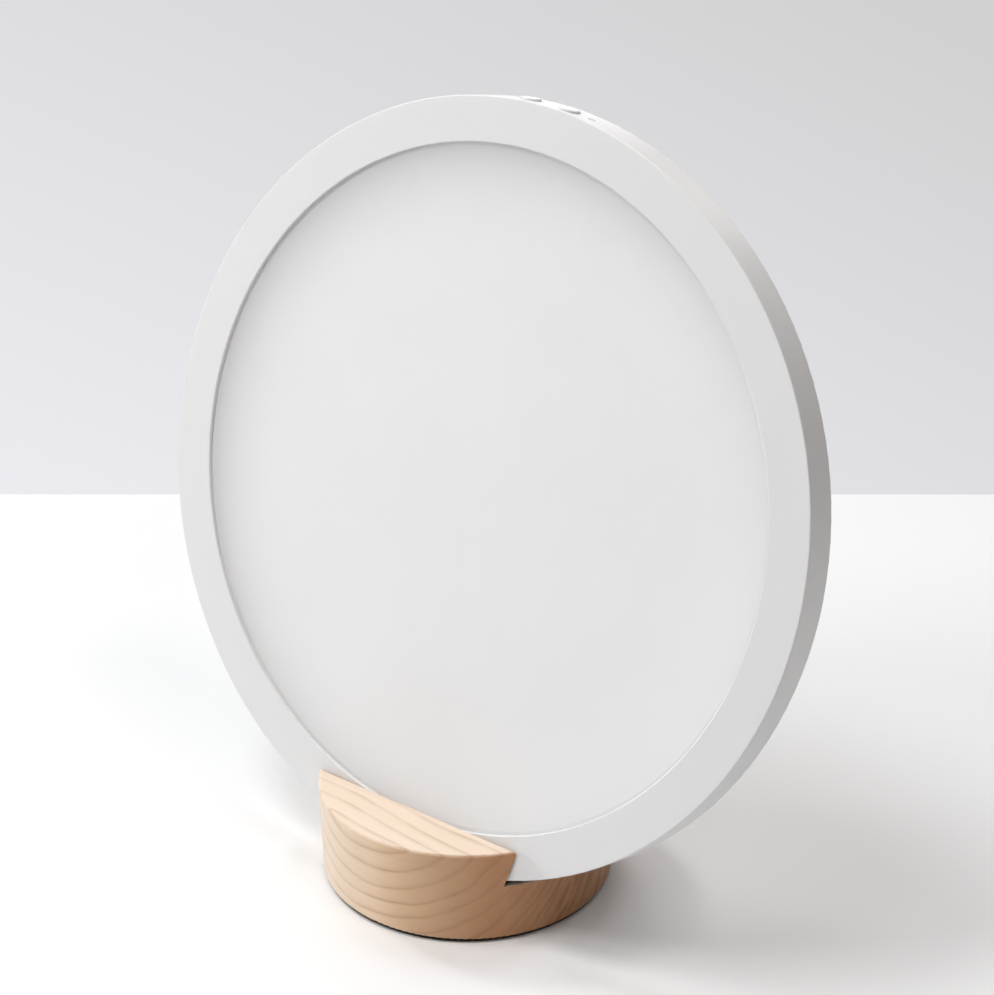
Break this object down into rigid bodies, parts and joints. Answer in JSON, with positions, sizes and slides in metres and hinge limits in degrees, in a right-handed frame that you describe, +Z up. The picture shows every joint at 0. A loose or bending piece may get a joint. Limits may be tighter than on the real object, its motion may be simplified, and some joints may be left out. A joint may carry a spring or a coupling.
{
  "type": "light therapy lamp",
  "caption": "Thin round light panel with an opal diffuser, leaning back in a curved slot cut across a short turned wooden foot; push buttons and an indicator on its rim.",
  "frame": {"origin": "on the table under the centre of the wooden foot, at the foot pad's underside", "axes": "+Z up from the table; -Y towards the user, the way the lit face looks; +X to the right as seen from the front"},
  "size_m": [0.24, 0.0948, 0.2483],
  "materials": {
    "turned_wood": "fine-sanded pale hardwood, thin clear lacquer",
    "liner_rubber": "matt",
    "ballast_steel": "zinc plated",
    "screw_steel": "zinc plated",
    "pad_rubber": "matt",
    "white_shell": "satin white",
    "rear_shell": "fine-textured white",
    "opal_acrylic": "frosted opal",
    "clear_acrylic": "polished clear",
    "reflector_white": "white film",
    "tray_aluminium": "mill finish",
    "strip_film": "white coated circuit film",
    "led_package": "white case, yellow phosphor",
    "lead_red": "PVC",
    "lead_black": "PVC",
    "cover_screw_steel": "plated",
    "board_laminate": "green solder mask",
    "coil_ferrite": "dark ferrite",
    "can_aluminium": "satin",
    "chip_black": "moulded",
    "socket_plastic": "moulded",
    "jack_plastic": "moulded",
    "jack_metal": "nickel plated",
    "flex_film": "amber polyimide",
    "switch_body": "moulded",
    "button_cap": "satin white",
    "plunger_plastic": "moulded",
    "indicator_lens": "milky translucent",
    "indicator_led": "clear case"
  },
  "bodies": {
    "stand": {"wood_base": "turned_wood", "slot_liner": "liner_rubber", "ballast_plate": "ballast_steel", "ballast_screws": "screw_steel", "foot_pad": "pad_rubber"},
    "light_panel": {"front_frame": "white_shell", "diffuser_panel": "opal_acrylic", "light_guide_plate": "clear_acrylic", "reflector_sheet": "reflector_white", "led_tray": "tray_aluminium", "led_strip": "strip_film", "led_chips": "led_package", "led_lead_plus": "lead_red", "led_lead_minus": "lead_black", "rear_cover": "rear_shell", "rear_housing": "rear_shell", "cover_screws": "cover_screw_steel", "control_board": "board_laminate", "board_screws": "screw_steel", "driver_coil": "coil_ferrite", "capacitors": "can_aluminium", "driver_chips": "chip_black", "flex_socket": "socket_plastic", "dc_jack": "jack_plastic", "dc_jack_pin": "jack_metal", "control_flex": "flex_film", "button_switches": "switch_body", "indicator_lens": "indicator_lens", "indicator_led": "indicator_led"},
    "power_button": {"power_button": "button_cap", "power_plunger": "plunger_plastic"},
    "dimmer_button": {"dimmer_button": "button_cap", "dimmer_plunger": "plunger_plastic"}
  },
  "joints": [
    {"name": "panel_lift", "type": "slide", "parent": "stand", "child": "light_panel", "axis": [0, 0.2588, 0.9659], "range_m": [0, 0.06]},
    {"name": "power_press", "type": "slide", "parent": "light_panel", "child": "power_button", "axis": [0.0366, -0.2586, -0.9653], "range_m": [0, 0.0005], "stiffness_N_per_m": 600, "springref_m": -0.002},
    {"name": "dimmer_press", "type": "slide", "parent": "light_panel", "child": "dimmer_button", "axis": [-0.0837, -0.2579, -0.9625], "range_m": [0, 0.0005], "stiffness_N_per_m": 600, "springref_m": -0.002}
  ]
}
